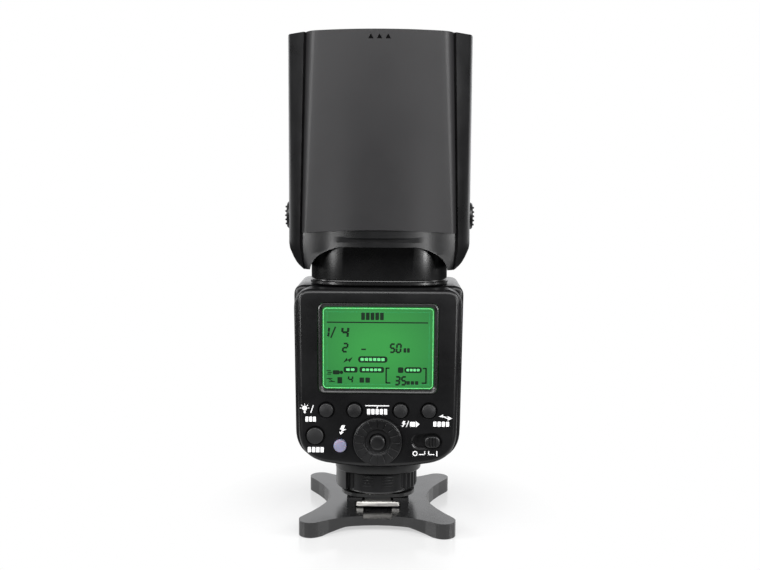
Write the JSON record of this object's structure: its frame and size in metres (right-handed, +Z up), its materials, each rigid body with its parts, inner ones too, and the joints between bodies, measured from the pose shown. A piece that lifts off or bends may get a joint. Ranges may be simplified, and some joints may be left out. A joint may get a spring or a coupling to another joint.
{
  "type": "speedlight flash",
  "caption": "Shoe-mount electronic flash with a tilting, swivelling zoom head, lit display and control dial, standing on a small four-legged stand.",
  "frame": {"origin": "on the table under the middle of the stand", "axes": "+Z up, the control panel and display face -Y, +X to the right of someone looking at the panel"},
  "size_m": [0.0764, 0.066, 0.201],
  "materials": {
    "casing_plastic": "fine satin black moulding",
    "panel_plastic": "satin black control panel",
    "neck_plastic": "satin black",
    "stand_plastic": "satin black, polished edges",
    "control_plastic": "satin black, ribbed",
    "soft_key": "matt black soft key",
    "inner_plastic": "matt dark grey",
    "bezel_gloss": "gloss black frame",
    "display_cover": "clear cover",
    "display_green": "lit green liquid crystal display",
    "pilot_lamp": "milky lilac lamp button",
    "bright_steel": "bright pressed steel",
    "black_steel": "blackened pressed steel",
    "brass": "turned brass",
    "circuit_board": "green solder mask",
    "cell_wrap": "printed film wrap, plain",
    "capacitor_sleeve": "shrunk sleeve",
    "red_window": "dark red filter",
    "lens_clear": "clear moulded lens plastic",
    "card_white": "matt white sheet",
    "reflector_bright": "bright anodised sheet"
  },
  "bodies": {
    "stand": {"stand_base": "stand_plastic", "thread_insert": "brass"},
    "body": {"shoe_plate": "bright_steel", "contact_block": "inner_plastic", "foot_screw_1": "bright_steel", "foot_screw_2": "bright_steel", "foot_screw_3": "bright_steel", "foot_screw_4": "bright_steel", "foot_block": "casing_plastic", "body_shell": "casing_plastic", "rear_cover": "panel_plastic", "lcd_bezel": "bezel_gloss", "lcd_window": "display_cover", "lcd_module": "display_green", "main_board": "circuit_board", "battery_box": "inner_plastic", "battery_cell_1": "cell_wrap", "battery_cell_2": "cell_wrap", "battery_cell_3": "cell_wrap", "battery_cell_4": "cell_wrap", "battery_contacts": "bright_steel", "capacitor": "capacitor_sleeve", "af_window": "red_window", "af_lamp": "pilot_lamp", "socket_block": "inner_plastic"},
    "door_slider": {"door_slider": "inner_plastic", "door_hinge_pin": "bright_steel"},
    "battery_door": {"battery_door": "casing_plastic", "door_contacts": "bright_steel"},
    "neck": {"neck": "neck_plastic", "swivel_retainer": "bright_steel"},
    "head": {"head_rear_shell": "casing_plastic", "head_front_shell": "casing_plastic", "tilt_axle": "bright_steel", "lens_bezel": "casing_plastic", "fresnel_lens": "lens_clear", "zoom_motor": "bright_steel", "guide_rod": "bright_steel"},
    "zoom_carriage": {"zoom_carriage": "inner_plastic", "reflector": "reflector_bright", "flash_tube": "lens_clear"},
    "lock_plate": {"lock_plate": "black_steel"},
    "lock_ring": {"lock_ring": "control_plastic"},
    "lock_pin": {"lock_pin": "bright_steel"},
    "row_button_1": {"row_button_1": "soft_key"},
    "row_button_2": {"row_button_2": "soft_key"},
    "row_button_3": {"row_button_3": "soft_key"},
    "row_button_4": {"row_button_4": "soft_key"},
    "mode_button": {"mode_button": "soft_key"},
    "pilot_button": {"pilot_button": "pilot_lamp"},
    "select_dial": {"select_dial": "control_plastic"},
    "set_button": {"set_button": "soft_key"},
    "power_switch": {"power_switch": "control_plastic"},
    "port_cover": {"port_cover": "soft_key"},
    "release_button_left": {"release_button_left": "control_plastic"},
    "release_button_right": {"release_button_right": "control_plastic"},
    "wide_panel": {"wide_panel": "lens_clear"},
    "bounce_card": {"bounce_card": "card_white"},
    "zoom_screw": {"zoom_screw": "bright_steel"}
  },
  "joints": [
    {"name": "shoe_slide", "type": "slide", "parent": "stand", "child": "body", "axis": [0, -1, 0], "range_m": [0, 0.03]},
    {"name": "lock_ring_turn", "type": "hinge", "parent": "body", "child": "lock_ring", "pos_m": [0, -0.002, 0.017], "axis": [0, 0, 1], "range_deg": [0, 300]},
    {"name": "lock_plate_travel", "type": "slide", "parent": "body", "child": "lock_plate", "axis": [0, 0, -1], "range_m": [0, 0.0004]},
    {"name": "lock_pin_travel", "type": "slide", "parent": "body", "child": "lock_pin", "axis": [0, 0, -1], "range_m": [0, 0.001]},
    {"name": "neck_swivel", "type": "hinge", "parent": "body", "child": "neck", "pos_m": [0, -0.002, 0.1], "axis": [0, 0, 1], "range_deg": [-180, 180]},
    {"name": "head_tilt", "type": "hinge", "parent": "neck", "child": "head", "pos_m": [0, -0.002, 0.129], "axis": [-1, 0, 0], "range_deg": [0, 90]},
    {"name": "release_left_press", "type": "slide", "parent": "head", "child": "release_button_left", "axis": [1, 0, 0], "range_m": [0, 0.0014], "stiffness_N_per_m": 800},
    {"name": "release_right_press", "type": "slide", "parent": "head", "child": "release_button_right", "axis": [-1, 0, 0], "range_m": [0, 0.0014], "stiffness_N_per_m": 800},
    {"name": "wide_panel_slide", "type": "slide", "parent": "head", "child": "wide_panel", "axis": [0, 0, 1], "range_m": [0, 0.042]},
    {"name": "bounce_card_slide", "type": "slide", "parent": "head", "child": "bounce_card", "axis": [0, 0, 1], "range_m": [0, 0.042]},
    {"name": "zoom_travel", "type": "slide", "parent": "head", "child": "zoom_carriage", "axis": [0, 0, 1], "range_m": [0, 0.016]},
    {"name": "zoom_screw_turn", "type": "hinge", "parent": "head", "child": "zoom_screw", "pos_m": [0.03, 0.011, 0.17], "axis": [0, 0, 1], "range_deg": [0, 2880]},
    {"name": "row_button_1_press", "type": "slide", "parent": "body", "child": "row_button_1", "axis": [0, 1, 0], "range_m": [0, 0.0008], "stiffness_N_per_m": 500},
    {"name": "row_button_2_press", "type": "slide", "parent": "body", "child": "row_button_2", "axis": [0, 1, 0], "range_m": [0, 0.0008], "stiffness_N_per_m": 500},
    {"name": "row_button_3_press", "type": "slide", "parent": "body", "child": "row_button_3", "axis": [0, 1, 0], "range_m": [0, 0.0008], "stiffness_N_per_m": 500},
    {"name": "row_button_4_press", "type": "slide", "parent": "body", "child": "row_button_4", "axis": [0, 1, 0], "range_m": [0, 0.0008], "stiffness_N_per_m": 500},
    {"name": "mode_press", "type": "slide", "parent": "body", "child": "mode_button", "axis": [0, 1, 0], "range_m": [0, 0.0008], "stiffness_N_per_m": 500},
    {"name": "pilot_press", "type": "slide", "parent": "body", "child": "pilot_button", "axis": [0, 1, 0], "range_m": [0, 0.0006], "stiffness_N_per_m": 500},
    {"name": "set_press", "type": "slide", "parent": "body", "child": "set_button", "axis": [0, 1, 0], "range_m": [0, 0.0008], "stiffness_N_per_m": 500},
    {"name": "dial_turn", "type": "hinge", "parent": "body", "child": "select_dial", "pos_m": [0, -0.029, 0.039], "axis": [0, -1, 0], "continuous": true},
    {"name": "power_slide", "type": "slide", "parent": "body", "child": "power_switch", "axis": [-1, 0, 0], "range_m": [0, 0.0044]},
    {"name": "door_slide", "type": "slide", "parent": "body", "child": "door_slider", "axis": [0, 0, -1], "range_m": [0, 0.003]},
    {"name": "door_swing", "type": "hinge", "parent": "door_slider", "child": "battery_door", "pos_m": [0.0326, 0.0025, 0.066], "axis": [0, -1, 0], "range_deg": [0, 95]},
    {"name": "port_swing", "type": "hinge", "parent": "body", "child": "port_cover", "pos_m": [-0.0345, 0.004, 0.06], "axis": [0, 0, -1], "range_deg": [0, 110]}
  ],
  "couplings": [
    {"joint": "lock_ring_turn", "follows": "lock_plate_travel", "rad_per_m": 13090},
    {"joint": "lock_pin_travel", "follows": "lock_plate_travel", "ratio": 2.499},
    {"joint": "zoom_screw_turn", "follows": "zoom_travel", "rad_per_m": 3141.5}
  ]
}
